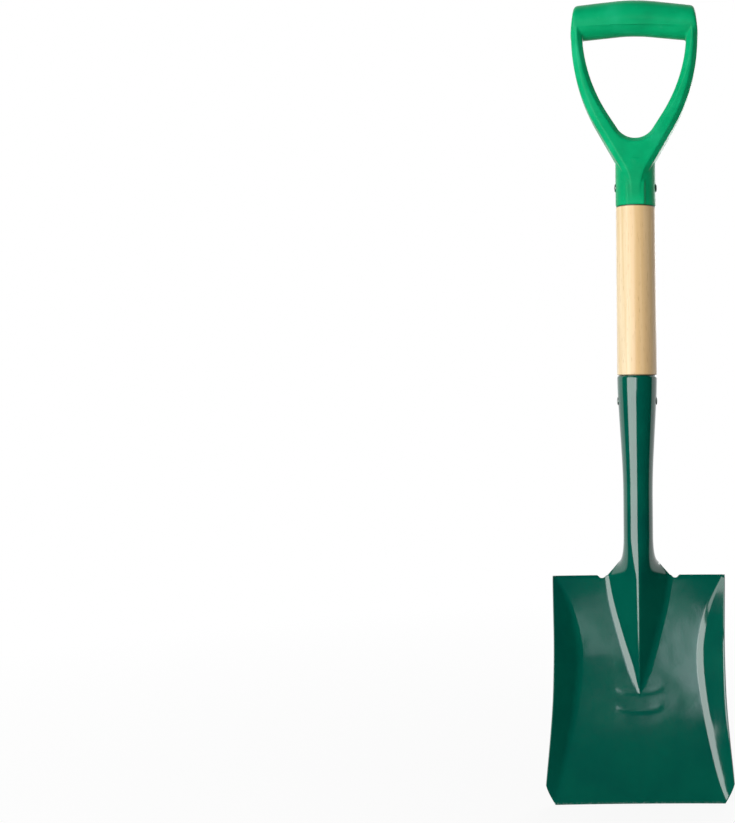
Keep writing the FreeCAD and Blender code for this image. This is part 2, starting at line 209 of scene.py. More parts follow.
def wrapped(first: int, rings: int, around: int) -> list[Face]:
    """Faces between rings of points that follow one another.

    Args:
        first: Number of the first ring's first point.
        rings: How many rings there are.
        around: How many points each has.

    Returns:
        The faces.
    """
    faces = []
    for low in range(first, first + (rings - 1) * around, around):
        for k in range(around):
            after = (k + 1) % around
            faces.append((low + k, low + after, low + around + after, low + around + k))
    return faces


def mesh_object(name: str, points: Sequence[Point], faces: Sequence[Face]) -> Object:
    """A smooth-shaded mesh in the scene.

    Args:
        name: Name of the object.
        points: Its corners in millimetres.
        faces: The corners of each face.

    Returns:
        The new object.
    """
    mesh = bpy.data.meshes.new(name)
    mesh.from_pydata([(x * MM, y * MM, z * MM) for x, y, z in points], [], faces)
    mesh.update()
    mesh.shade_smooth()
    piece = bpy.data.objects.new(name, mesh)
    bpy.context.scene.collection.objects.link(piece)
    return piece


def turned(name: str, outline: Sequence[Pair], axis_y: float, around: int) -> Object:
    """A solid turned about the upright axis of the shaft.

    Args:
        name: Name of the object.
        outline: Radius and height of each ring; the first and last close to a point.
        axis_y: Where the axis stands, in millimetres.
        around: Number of mesh lines round the axis.

    Returns:
        The new object.
    """
    points: list[Point] = [(0.0, axis_y, outline[0][1])]
    for radius, height in outline:
        points += [(radius * x, axis_y + radius * y, height) for x, y in full_turn(around)]
    points.append((0.0, axis_y, outline[-1][1]))
    faces = wrapped(1, len(outline), around)
    top = len(points) - 1
    for k in range(around):
        after = (k + 1) % around
        faces.append((0, 1 + after, 1 + k))
        faces.append((top, top - around + k, top - around + after))
    return mesh_object(name, points, faces)


def reshape(piece: Object, kind: str, **settings: object) -> None:
    """Give a piece a modifier.

    Args:
        piece: The piece.
        kind: Blender's name for the kind of modifier.
        settings: The modifier's own properties.
    """
    made = piece.modifiers.new(kind, kind)
    for key, value in settings.items():
        setattr(made, key, value)


def settle(piece: Object) -> None:
    """Turn a piece's modifiers into its mesh and drop them.

    Args:
        piece: The piece.
    """
    graph = bpy.context.evaluated_depsgraph_get()
    mesh = bpy.data.meshes.new_from_object(piece.evaluated_get(graph))
    old = piece.data
    piece.modifiers.clear()
    piece.data = mesh
    mesh.name = piece.name
    bpy.data.meshes.remove(old)


def install(
    piece: Object, node_name: str, finish: Material, sharp_degrees: float = 0.0
) -> Object:
    """Give a piece its finish, let it stand for its CAD node and move with the tool.

    Args:
        piece: The detailed piece.
        node_name: The CAD node that it stands for.
        finish: What it is made of.
        sharp_degrees: Edges that turn more stay crisp; with 0 every edge is soft.

    Returns:
        The piece.
    """
    if sharp_degrees:
        piece.data.set_sharp_from_angle(angle=math.radians(sharp_degrees))
    piece.data.materials.clear()
    piece.data.materials.append(finish)
    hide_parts(node_name)
    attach(piece, BODY)
    low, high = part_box(node_name)
    LOG.info("%s for %s, %.1f mm tall", piece.name, node_name, (high.z - low.z) / MM)
    return piece


def linear(colour: str) -> tuple[float, ...]:
    """Turn a colour of sRGB into the linear values that a socket takes.

    Args:
        colour: The colour, written as #rrggbb.

    Returns:
        Its linear red, green and blue, and 1 for its cover.
    """
    shares = [int(colour[k : k + 2], 16) / 255 for k in (1, 3, 5)]
    light = [c / 12.92 if c <= 0.04045 else ((c + 0.055) / 1.055) ** 2.4 for c in shares]
    return (*light, 1.0)


def add_node(
    tree: bpy.types.NodeTree,
    kind: str,
    inputs: Sequence[object] | dict[str, object] = (),
    out: str = "",
    stops: Sequence[tuple[float, str]] = (),
    **settings: object,
) -> Socket | None:
    """Add a node with its settings and links.

    Args:
        tree: The node tree that it goes into.
        kind: Blender's name for the kind of node, without its prefix.
        inputs: By name or in order, the value of an input or the output linked to it.
        out: Name of the output that is asked for, where it isn't the first.
        stops: Places and colours along a ramp.
        settings: The node's other properties.

    Returns:
        The output, if the node has one.
    """
    made = tree.nodes.new("ShaderNode" + kind)
    for key, value in settings.items():
        setattr(made, key, value)
    shown = [socket for socket in made.inputs if socket.enabled]
    if isinstance(inputs, dict):
        shown = [made.inputs[name] for name in inputs]
        inputs = list(inputs.values())
    for socket, value in zip(shown, inputs):
        if isinstance(value, Socket):
            tree.links.new(value, socket)
        else:
            socket.default_value = value
    if stops:
        elements = made.color_ramp.elements
        while len(elements) < len(stops):
            elements.new(0.5)
        for element, (place, colour) in zip(elements, stops):
            element.position, element.color = place, linear(colour)
    return next((s for s in made.outputs if s.enabled and out in ("", s.name)), None)


def new_material(name: str) -> tuple[Material, Callable[..., Socket]]:
    """An empty node material, and what adds a node to it.

    Args:
        name: Name of the material.

    Returns:
        The material, and add_node for its tree.
    """
    material = bpy.data.materials.new(name)
    material.use_nodes = True
    material.node_tree.nodes.clear()
    return material, partial(add_node, material.node_tree)


def per_metre(millimetres: float) -> float:
    """Scale of a pattern in object coordinates that repeats over a length."""
    return 1 / (millimetres * MM)


@dataclass(frozen=True)
class Clouds:
    """A cloudy pattern: size of its marks, how many finer layers it has, and their share."""

    size_mm: float
    layers: float
    share: float = 0.5

    def inputs(self, place: Socket) -> list[object]:
        """What a noise node takes for it, in order."""
        return [place, per_metre(self.size_mm), self.layers, self.share]


@dataclass(frozen=True)
class GlossEnamel:
    """Dark green gloss enamel, sprayed on pressed steel and baked.

    To the eye it is deep and wet-looking, with a faint orange peel, slow changes of depth
    over the pressing, and dull scuffs along the cutting edge.
    """

    shades: tuple[tuple[float, str], ...] = ((0.3, "#014c40"), (0.52, "#015243"), (0.72, "#025646"))
    scuff_colour: str = "#4f6a62"
    scuff_roughness: float = 0.42
    scuff_height_mm: float = 5.0
    scuff_span: Span = (0.34, 0.6, 0.0, 0.8)
    gloss_span: Span = (0.3, 0.75, 0.055, 0.115)
    ior: float = 1.6
    depth_clouds: Clouds = Clouds(46.0, 3.0, 0.6)
    scuff_clouds: Clouds = Clouds(1.6, 5.0, 0.7)
    dust_clouds: Clouds = Clouds(0.9, 4.0)
    peel_clouds: Clouds = Clouds(2.6, 1.0)
    peel_depth_mm: float = 0.005
    press_clouds: Clouds = Clouds(28.0, 1.0)
    press_depth_mm: float = 0.13

    def material(self) -> Material:
        """The enamel as a material.

        Returns:
            The material.
        """
        material, add = new_material("gloss_enamel_on_pressed_steel")
        place = add("TexCoord", out="Object")
        depth = add("TexNoise", self.depth_clouds.inputs(place))
        body = add("ValToRGB", [depth], stops=self.shades)
        height = add("SeparateXYZ", [place], "Z")
        low = add("MapRange", [height, 0.0, self.scuff_height_mm * MM, 1.0, 0.0])
        grit = add("TexNoise", self.scuff_clouds.inputs(place))
        rubbed = add("Math", [low, grit], operation="MULTIPLY")
        scuff = add("MapRange", [rubbed, *self.scuff_span])
        worn = add("Mix", [scuff, body, linear(self.scuff_colour)], data_type="RGBA")
        # Settled dust and overspray show as a slightly uneven gloss.
        dust = add("TexNoise", self.dust_clouds.inputs(place))
        gloss = add("MapRange", [dust, *self.gloss_span])
        rough = add("Mix", [scuff, gloss, self.scuff_roughness])
        peel = add("TexNoise", self.peel_clouds.inputs(place))
        fine = add("Bump", {"Height": peel, "Distance": self.peel_depth_mm * MM})
        # The press leaves long shallow hollows in thin sheet.
        press = add("TexNoise", self.press_clouds.inputs(place))
        deep = self.press_depth_mm * MM
        relief = add("Bump", {"Height": press, "Distance": deep, "Normal": fine})
        shader = add(
            "BsdfPrincipled",
            {"Base Color": worn, "Roughness": rough, "Normal": relief, "IOR": self.ior},
        )
        add("OutputMaterial", [shader])
        return material


@dataclass(frozen=True)
class MouldedPolypropylene:
    """Bright green polypropylene, injection-moulded in a satin-textured tool.

    To the eye it is an even saturated green with a soft sheen, a hair-fine parting line
    down the middle of its sides, and a few paler rub marks.
    """

    axis_y_mm: float
    shades: tuple[tuple[float, str], ...] = ((0.3, "#01955e"), (0.5, "#00a268"), (0.72, "#16ad76"))
    rub_colour: str = "#3cb98a"
    rub_span: Span = (0.6, 0.8, 0.0, 0.35)
    gloss_span: Span = (0.3, 0.75, 0.32, 0.43)
    ior: float = 1.49
    specular_level: float = 0.1
    depth_clouds: Clouds = Clouds(30.0, 3.0)
    rub_clouds: Clouds = Clouds(7.0, 6.0, 0.7)
    # The spark texture of the tool is about 0.1 mm; it is drawn coarser so that it shows.
    grain_clouds: Clouds = Clouds(0.45, 2.0)
    grain_depth_mm: float = 0.02
    seam_half_mm: float = 0.16
    seam_height_mm: float = 0.12

    def material(self) -> Material:
        """The plastic as a material.

        Returns:
            The material.
        """
        material, add = new_material("moulded_green_polypropylene")
        place = add("TexCoord", out="Object")
        depth = add("TexNoise", self.depth_clouds.inputs(place))
        body = add("ValToRGB", [depth], stops=self.shades)
        rubs = add("TexNoise", self.rub_clouds.inputs(place))
        rubbed = add("MapRange", [rubs, *self.rub_span])
        colour = add("Mix", [rubbed, body, linear(self.rub_colour)], data_type="RGBA")
        gloss = add("MapRange", [rubs, *self.gloss_span])
        grain = add("TexNoise", self.grain_clouds.inputs(place))
        skin = add("Bump", {"Height": grain, "Distance": self.grain_depth_mm * MM})
        back = add("SeparateXYZ", [place], "Y")
        off_middle = add("Math", [back, self.axis_y_mm * MM], operation="SUBTRACT")
        distance = add("Math", [off_middle], operation="ABSOLUTE")
        seam_span = (0.0, self.seam_half_mm * MM, 1.0, 0.0)
        seam = add("MapRange", [distance, *seam_span], interpolation_type="SMOOTHSTEP")
        proud = self.seam_height_mm * MM
        parting = add("Bump", {"Height": seam, "Distance": proud, "Normal": skin})
        shader = add(
            "BsdfPrincipled",
            {
                "Base Color": colour,
                "Roughness": gloss,
                "Normal": parting,
                "IOR": self.ior,
                "Specular IOR Level": self.specular_level,
            },
        )
        add("OutputMaterial", [shader])
        return material


@dataclass(frozen=True)
class Fibres:
    """A pattern drawn out along the wood: its width, length, finer layers and waviness."""

    width_mm: float
    length_mm: float
    layers: float
    waviness: float = 0.0

    def drawn(self, add: Callable[..., Socket], place: Socket) -> Socket:
        """Noise stretched along the shaft, as long and as wide as the pattern's marks.

        Args:
            add: What adds a node to the material.
            place: Object coordinates.

        Returns:
            The pattern, from 0 to 1.
        """
        across, along = per_metre(self.width_mm), per_metre(self.length_mm)
        stretched = add("Mapping", {"Vector": place, "Scale": (across, across, along)})
        wavy = {"Vector": stretched, "Scale": 1.0, "Detail": self.layers}
        return add("TexNoise", wavy | {"Distortion": self.waviness})


@dataclass(frozen=True)
class VarnishedAsh:
    """Pale ash, turned round, sanded and dipped in clear varnish.

    To the eye it is cream with long straight grain lines, a few warmer streaks, short dark
    pores, a dark line where it enters socket and collar that is part dirt and part painted
    shadow, a painted warmer shade on the side away from the key lamp, and a clear gloss over it.
    """

    joint_heights_mm: Pair
    rings: Fibres = Fibres(3.4, 260.0, 2.0, 0.4)
    ring_shades: tuple[tuple[float, str], ...] = (
        (0.32, "#ebdab9"),
        (0.5, "#e5d0aa"),
        (0.62, "#dabd8c"),
        (0.72, "#e5d0aa"),
    )
    streaks: Fibres = Fibres(11.0, 420.0, 2.0)
    streak_span: Span = (0.54, 0.72, 0.0, 0.6)
    streak_colour: str = "#cda673"
    # Painted shade: a warmer tan laid on the side of the shaft that faces away from the key lamp.
    painted_shade_side: Point = (0.93, -0.36, 0.02)
    painted_shade_from_mm: float = -9.0
    painted_shade_to_mm: float = 3.0
    painted_shade_share: float = 0.7
    painted_shade_colour: str = "#e0b982"
    fibres: Fibres = Fibres(0.55, 26.0, 3.0)
    fibre_span: Span = (0.35, 0.7, 0.0, 0.28)
    fibre_colour: str = "#dabd8c"
    fibre_depth_mm: float = 0.03
    pores: Fibres = Fibres(0.6, 9.0, 1.0)
    pore_span: Span = (0.64, 0.74, 0.0, 0.55)
    pore_colour: str = "#b48a58"
    # A dark line at each joint, part dirt and part painted shadow.
    dirt_and_painted_shadow_colour: str = "#23301f"
    dirt_and_painted_shadow_mm: float = 1.7
    gloss_span: Span = (0.3, 0.7, 0.33, 0.46)
    ior: float = 1.5
    bare_gloss: float = 0.2
    varnish: float = 0.35
    varnish_roughness: float = 0.2

    def material(self) -> Material:
        """The wood and its varnish as a material.

        Returns:
            The material.
        """
        material, add = new_material("varnished_turned_ash")
        place = add("TexCoord", out="Object")
        rings, fibres = self.rings.drawn(add, place), self.fibres.drawn(add, place)
        colour = add("ValToRGB", [rings], stops=self.ring_shades)
        streak = add("MapRange", [self.streaks.drawn(add, place), *self.streak_span])
        # Painted shade: a warmer, darker tan on the side turned away from the key lamp, towards the
        # camera's right.
        across = add("VectorMath", [place, self.painted_shade_side], operation="DOT_PRODUCT")
        painted_shade_span = (self.painted_shade_from_mm * MM, self.painted_shade_to_mm * MM, 0.0, self.painted_shade_share)
        painted_shade = add("MapRange", [across, *painted_shade_span], interpolation_type="SMOOTHSTEP")
        fibre = add("MapRange", [fibres, *self.fibre_span])
        pore = add("MapRange", [self.pores.drawn(add, place), *self.pore_span])
        layers = [
            (streak, self.streak_colour),
            (painted_shade, self.painted_shade_colour),
            (fibre, self.fibre_colour),
            (pore, self.pore_colour),
        ]
        # A dark line where the wood enters socket and collar: partly enamel and dirt, partly
        # painted shadow of the gap.
        height = add("SeparateXYZ", [place], "Z")
        for joint in self.joint_heights_mm:
            off = add("Math", [height, joint * MM], operation="SUBTRACT")
            away = add("Math", [off], operation="ABSOLUTE")
            line_span = (0.0, self.dirt_and_painted_shadow_mm * MM, 1.0, 0.0)
            line = add("MapRange", [away, *line_span], interpolation_type="SMOOTHSTEP")
            layers.append((line, self.dirt_and_painted_shadow_colour))
        for share, shade in layers:
            colour = add("Mix", [share, colour, linear(shade)], data_type="RGBA")
        relief = add("Bump", {"Height": fibres, "Distance": self.fibre_depth_mm * MM})
        shader = add(
            "BsdfPrincipled",
            {
                "Base Color": colour,
                "Roughness": add("MapRange", [rings, *self.gloss_span]),
                "Normal": relief,
                "IOR": self.ior,
                "Specular IOR Level": self.bare_gloss,
                "Coat Weight": self.varnish,
                "Coat Roughness": self.varnish_roughness,
            },
        )
        add("OutputMaterial", [shader])
        return material


@dataclass(frozen=True)
class ZincedSteel:
    """Mild steel rivets, cold-headed and zinc plated.

    To the eye they are small grey metal buttons, a little cloudy, with darker patches where
    the head was struck.
    """

    shades: tuple[tuple[float, str], ...] = ((0.35, "#5c6460"), (0.62, "#8f9793"))
    gloss_span: Span = (0.3, 0.7, 0.46, 0.28)
    metallic: float = 1.0
    plating_clouds: Clouds = Clouds(1.3, 4.0)
    strike_clouds: Clouds = Clouds(0.5, 2.0)
    strike_depth_mm: float = 0.03

    def material(self) -> Material:
        """The plated steel as a material.

        Returns:
            The material.
        """
        material, add = new_material("zinc_plated_rivet_steel")
        place = add("TexCoord", out="Object")
        clouds = add("TexNoise", self.plating_clouds.inputs(place))
        strikes = add("TexNoise", self.strike_clouds.inputs(place))
        shader = add(
            "BsdfPrincipled",
            {
                "Base Color": add("ValToRGB", [clouds], stops=self.shades),
                "Metallic": self.metallic,
                "Roughness": add("MapRange", [clouds, *self.gloss_span]),
                "Normal": add(
                    "Bump", {"Height": strikes, "Distance": self.strike_depth_mm * MM}
                ),
            },
        )
        add("OutputMaterial", [shader])
        return material


@dataclass(frozen=True)
class Places:
    """Where the CAD pieces sit, in millimetres, read from the frame."""

    shaft_y: float
    shaft_radius: float
    shaft_foot: float
    spigot_top: float
    socket_top: float
    grip_rim: float
    top: float

    @staticmethod
    def from_frame() -> "Places":
        """Read the places from the boxes of the CAD nodes.

        Returns:
            The places.
        """
        low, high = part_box("shaft")
        _, blade_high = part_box("blade")
        grip_low, grip_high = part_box("d_grip")
        return Places(
            shaft_y=(low.y + high.y) / 2 / MM,
            shaft_radius=(high.x - low.x) / 2 / MM,
            shaft_foot=low.z / MM,
            spigot_top=high.z / MM,
            socket_top=blade_high.z / MM,
            grip_rim=grip_low.z / MM,
            top=grip_high.z / MM,
        )


@dataclass(frozen=True)
class PressedSheet:
    """Blade, frog and socket: one steel sheet, pressed and rolled, in millimetres."""

    places: Places
    sheet: float = 1.5
    height: float = 191.0
    lift_degrees: float = 12.0
    top_half_width: float = 76.2
    dish: float = 1.58
    wall_rise: float = 14.0
    crease_bend: float = 2.1
    least_bend: float = 0.2
    stations: tuple[float, ...] = (0.0, 0.105, 0.29, 0.455, 0.60, 0.715, 0.865, 1.0)
    rim_shares: tuple[float, ...] = (1.076, 1.054, 1.007, 0.976, 0.967, 0.968, 0.983, 1.0)
    crease_shares: tuple[float, ...] = (0.985, 0.904, 0.803, 0.735, 0.700, 0.716, 0.808, 0.975)
    rise_shares: tuple[float, ...] = (0.08, 0.34, 0.70, 0.91, 1.0, 0.94, 0.58, 0.05)
    corner_height: float = 18.0
    corner_inset: float = 8.0
    corner_bow: float = 1.0
    corner_share: float = 1.0622
    roll_height: float = 2.6
    roll_depth: float = 0.9
    notch_width: float = 7.6
    notch_depth: float = 2.4
    notch_gap: float = 0.9
    notch_reach: float = 9.6
    ripple_heights: tuple[float, ...] = (91.0, 76.0)
    ripple_half_width: float = 21.0
    ripple_sag: float = 3.0
    ripple_rise: float = 0.09
    ripple_length: float = 2.4
    ripple_fade_power: int = 4
    frog_half_width: float = 28.0
    frog_rise: float = 22.1
    frog_tip: float = 91.68
    frog_tip_rise: float = 0.25
    frog_crest_radius: float = 6.0
    frog_stations: tuple[float, ...] = (0.0, 0.25, 0.5, 0.77, 1.0)
    frog_width_shares: tuple[float, ...] = (0.036, 0.325, 0.607, 0.864, 1.0)
    frog_crest_shares: tuple[float, ...] = (0.13, 0.30, 0.42, 0.6, 1.0)
    valley_bend: float = 2.3
    valley_least_share: float = 0.1
    valley_tip_share: float = 0.25
    least_foot: float = 4.0
    flare_length: float = 35.0
    flare_power: float = 1.15
    neck_radius: float = 13.1
    neck_length: float = 53.0
    taper_length: float = 73.0
    shoulder_radius: float = 17.3
    socket_radius: float = 17.7
    taper_bend: float = 1.1
    shoulder_bend: float = 0.15
    lip_height: float = 2.0
    lip_inset: float = 0.9
    seam_gap: float = 1.0
    edge_radius: float = 0.4
    edge_segments: int = 2
    edge_degrees: float = 50.0
    mesh_step: float = 0.98
    beside_share: float = 0.75
    middle_share: float = 1.2
    socket_step_share: float = 2.5
    lip_rows: int = 5

    def station(self, shares: tuple[float, ...], z: float) -> float:
        """A share that changes smoothly up the blade, at a height."""
        return through(self.stations, shares, z / self.height)

    def lean_y(self, z: float) -> float:
        """Depth of the leaning plane that the blade is pressed from, at a height."""
        return z * math.tan(math.radians(self.lift_degrees))

    def frog_share(self, z: float) -> float:
        """Share of the way from the frog's tip to the top edge, at a height."""
        return (z - self.frog_tip) / (self.height - self.frog_tip)

    def foot_x(self, z: float) -> float:
        """Where the mesh lines of the frog end at a height."""
        width = through(self.frog_stations, self.frog_width_shares, self.frog_share(z))
        return max(self.least_foot, self.frog_half_width * width)

    def edge_x(self, z: float) -> float:
        """Half width of the blade's outline, with the clipped lower corners.

        Args:
            z: Height on the blade.

        Returns:
            The half width there.
        """
        rim = self.top_half_width * self.station(self.rim_shares, z)
        if z >= self.corner_height:
            return rim
        share = z / self.corner_height
        clipped = self.top_half_width * self.corner_share - self.corner_inset * (1 - share)
        return min(rim, clipped + 4 * self.corner_bow * share * (1 - share))

    def tray_y(self, x: float, z: float) -> float:
        """Front of the dished floor and the turned-up side, without the frog.

        Args:
            x: Place across.
            z: Height.

        Returns:
            Its depth there.
        """
        rim = self.top_half_width * self.station(self.rim_shares, z)
        crease = self.top_half_width * self.station(self.crease_shares, z)
        rise = self.wall_rise * self.station(self.rise_shares, z)
        front = self.lean_y(z) - self.dish
        floor = front + self.dish * (1 - (x / crease) ** 2)
        wall = front - rise * (abs(x) - crease) / (rim - crease)
        bend = mix(self.least_bend, self.crease_bend, rise / self.wall_rise)
        return smooth_min(floor, wall, bend)

    def frog_y(self, x: float, z: float) -> float:
        """Front of the ridge that runs down from the socket, or a place behind the floor.

        Args:
            x: Place across.
            z: Height.

        Returns:
            Its depth there.
        """
        share = self.frog_share(z)
        front = mix(self.frog_tip_rise, self.frog_rise, share)
        if share < 0:
            return self.lean_y(z) - front + abs(x) * self.frog_tip_rise
        half = self.frog_half_width * through(self.frog_stations, self.frog_width_shares, share)
        crest = self.frog_crest_radius * through(self.frog_stations, self.frog_crest_shares, share)
        apex = front + crest * (math.hypot(front, half) / half - 1)
        slope = apex / half
        return self.lean_y(z) - apex + slope * math.hypot(x, (apex - front) / slope)

    def ripple(self, x: float, z: float) -> float:
        """The two faint curved press marks below the frog.

        Args:
            x: Place across.
            z: Height.

        Returns:
            How far they stand out there.
        """
        share = min(abs(x) / self.ripple_half_width, 1.0)
        out = 0.0
        for height in self.ripple_heights:
            off = (z - height - self.ripple_sag * share * share) / self.ripple_length
            out += self.ripple_rise * math.exp(-off * off) * (1 - share**self.ripple_fade_power)
        return out

    def front_y(self, x: float, z: float) -> float:
        """Front of the pressed sheet anywhere on the blade.

        Args:
            x: Place across.
            z: Height.

        Returns:
            Its depth there.
        """
        opened = ease(self.valley_tip_share + (z - self.frog_tip) / self.frog_half_width)
        bend = self.valley_bend * max(self.valley_least_share, opened)
        surface = smooth_min(self.tray_y(x, z), self.frog_y(x, z), bend)
        return surface - self.ripple(x, z)

    def top_dip(self, x: float) -> float:
        """The relief notch beside the frog, a shallow round cut into the top edge.

        Args:
            x: Place across, at the right.

        Returns:
            How deep it is cut there.
        """
        half = self.notch_width / 2
        radius = (half * half + self.notch_depth**2) / (2 * self.notch_depth)
        off = abs(x) - self.frog_half_width - self.notch_gap - half
        if abs(off) >= half:
            return 0.0
        return math.sqrt(radius * radius - off * off) - (radius - self.notch_depth)

    def side_point(self, share: float, side: int, z: float) -> Point:
        """A point on the floor or wall beside the frog.

        Args:
            share: From 0 at the frog's foot to 1 at the rim.
            side: 1 for the right, -1 for the left.
            z: Height of the mesh line before the notch bends it.

        Returns:
            The point on the front of the sheet.
        """
        x = mix(self.foot_x(z), self.edge_x(z), share)
        low_z = z - self.top_dip(x) * ease(1 - (self.height - z) / self.notch_reach)
        into_roll = max(0.0, 1 - (self.height - low_z) / self.roll_height)
        beside_frog = ease((x - self.foot_x(z)) / self.notch_width)
        roll = self.roll_depth * into_roll * into_roll * beside_frog
        return side * x, self.front_y(x, low_z) + roll, low_z

    def tube_radius(self, z: float) -> float:
        """Outer radius of neck, taper, shoulder and drawn-in lip.

        Args:
            z: Height above the blade.

        Returns:
            The radius there.
        """
        top = self.places.socket_top
        taper_start = self.height + self.flare_length + self.neck_length
        shoulder = taper_start + self.taper_length
        slope = (self.shoulder_radius - self.neck_radius) / self.taper_length
        rim_slope = (self.socket_radius - self.shoulder_radius) / (top - shoulder)
        taper = self.neck_radius + slope * (z - taper_start)
        rim = self.shoulder_radius + rim_slope * (z - shoulder)
        outer = smooth_min(taper, rim, self.shoulder_bend)
        into_lip = max(0.0, 1 - (top - z) / self.lip_height)
        lip = self.lip_inset * into_lip * into_lip
        return -smooth_min(-self.neck_radius, -outer, self.taper_bend) - lip

    def rolled_point(self, share: float, z: float) -> Point:
        """A point of the flare or socket, rolled further round as it rises.

        Args:
            share: From -1 at the left edge of the sheet to 1 at the right.
            z: Height of the point, above the blade.

        Returns:
            The point on the front of the sheet.
        """
        radius = self.tube_radius(z)
        turn = share * (math.pi - math.asin(self.seam_gap / 2 / radius))
        round_y = self.places.shaft_y - radius * math.cos(turn)
        risen = min((z - self.height) / self.flare_length, 1.0)
        closed = 1 - (1 - risen) ** self.flare_power
        flat_x = self.frog_half_width * share
        flat_y = self.front_y(flat_x, self.height)
        return mix(flat_x, radius * math.sin(turn), closed), mix(flat_y, round_y, closed), z

    def lattice(self, step: float) -> tuple[list[list[Point]], int]:
        """Rows of points on the front of the sheet, from the cutting edge to the rim.

        Args:
            step: Distance between the mesh lines.

        Returns:
            The rows, and how many points of a full row lie beside the frog on each side.
        """
        beside = math.ceil(self.beside_share * self.top_half_width / step)
        middle = 2 * math.ceil(self.frog_half_width * self.middle_share / step)
        outer = [k / beside for k in range(beside, 0, -1)]
        inner = [mix(-1.0, 1.0, k / middle) for k in range(middle + 1)]
        rows = []
        for z in spaced(0.0, self.height, step):
            row = [self.side_point(share, -1, z) for share in outer]
            across = [share * self.foot_x(z) for share in inner]
            row += [(x, self.front_y(x, z), z) for x in across]
            rows.append(row + [self.side_point(share, 1, z) for share in reversed(outer)])
        flare_top, top = self.height + self.flare_length, self.places.socket_top
        lip_start = top - self.lip_height
        above = spaced(self.height, flare_top, step)[1:]
        above += spaced(flare_top, lip_start, self.socket_step_share * step)[1:]
        above += spaced(lip_start, top, self.lip_height / self.lip_rows)[1:]
        rows += [[self.rolled_point(share, z) for share in inner] for z in above]
        return rows, beside

    def backed(self, row: Sequence[Point]) -> list[Point]:
        """A row moved back by one sheet, square to the sheet in its own level.

        Args:
            row: Points on the front.

        Returns:
            The points behind them.
        """
        behind = []
        for k, (x, y, z) in enumerate(row):
            before, after = row[max(k - 1, 0)], row[min(k + 1, len(row) - 1)]
            along = Vector((after[0] - before[0], after[1] - before[1])).normalized()
            behind.append((x - along.y * self.sheet, y + along.x * self.sheet, z))
        return behind

    def build(self, detail: Detail, finish: Material) -> Object:
        """Make the sheet as one closed piece.

        Args:
            detail: How fine the mesh is.
            finish: Its enamel.

        Returns:
            The piece.
        """
        rows, beside = self.lattice(self.mesh_step * detail.value)
        fronts: list[Face] = []
        count = 0
        for row, above in zip(rows, rows[1:]):
            low = count + (beside if len(row) > len(above) else 0)
            count += len(row)
            for j in range(len(above) - 1):
                fronts.append((low + j, low + j + 1, count + j + 1, count + j))
        count += len(rows[-1])
        sides = dict.fromkeys(side for face in fronts for side in zip(face, face[1:] + face[:1]))
        open_sides = [side for side in sides if side[::-1] not in sides]
        rims = [(two, one, one + count, two + count) for one, two in open_sides]
        backs = [tuple(corner + count for corner in reversed(face)) for face in fronts]
        points = [point for row in rows for point in row]
        points += [point for row in rows for point in self.backed(row)]
        piece = mesh_object("pressed_blade_and_socket", points, fronts + backs + rims)
        reshape(
            piece,
            "BEVEL",
            width=self.edge_radius * MM,
            segments=self.edge_segments,
            limit_method="ANGLE",
            angle_limit=math.radians(self.edge_degrees),
        )
        settle(piece)
        return install(piece, "blade", finish)


@dataclass(frozen=True)
class TurnedShaft:
    """The wooden shaft: tapered foot, straight middle and spigot, in millimetres."""

    places: Places
    foot_radius: float = 10.2
    neck_height: float = 226.0
    taper_start: float = 279.0
    neck_radius: float = 11.3
    socket_inner_radius: float = 15.9
    spigot_radius: float = 14.0
    foot_round: float = 0.9
    foot_round_steps: int = 4
    mouth_gap: float = 0.6
    straight_start: float = 4.5
    straight_step: float = 12.0
    collar_gap: float = 0.8
    collar_gap_depth: float = 1.2
    spigot_round: float = 0.8
    around: int = 128
    sharp_degrees: float = 40.0

    def outline(self) -> list[Pair]:
        """The rings of the shaft, from the foot up.

        Returns:
            The radius and height of each.
        """
        wide, low, high = self.places.shaft_radius, self.places.socket_top, self.places.grip_rim
        foot, top = self.places.shaft_foot, self.places.spigot_top
        under_collar, sunk = high - self.collar_gap, wide - self.collar_gap_depth
        edge = rounding(self.foot_round, self.foot_round_steps)
        straight = spaced(low + self.straight_start, under_collar, self.straight_step)
        return [
            (self.foot_radius - self.foot_round, foot),
            (self.foot_radius, foot + self.foot_round),
            (self.neck_radius, self.neck_height),
            (self.neck_radius, self.taper_start),
            (self.socket_inner_radius, low),
            (self.socket_inner_radius, low + self.mouth_gap),
            *((wide - inward, low + (self.mouth_gap + up)) for inward, up in edge),
            *((wide, height) for height in straight),
            (sunk, under_collar),
            (sunk, high),
            (self.spigot_radius, high),
            (self.spigot_radius, top - self.spigot_round),
            (self.spigot_radius - self.spigot_round, top),
        ]

    def build(self, finish: Material) -> Object:
        """Turn the shaft and varnish it."""
        piece = turned("turned_wooden_shaft", self.outline(), self.places.shaft_y, self.around)
        return install(piece, "shaft", finish, self.sharp_degrees)


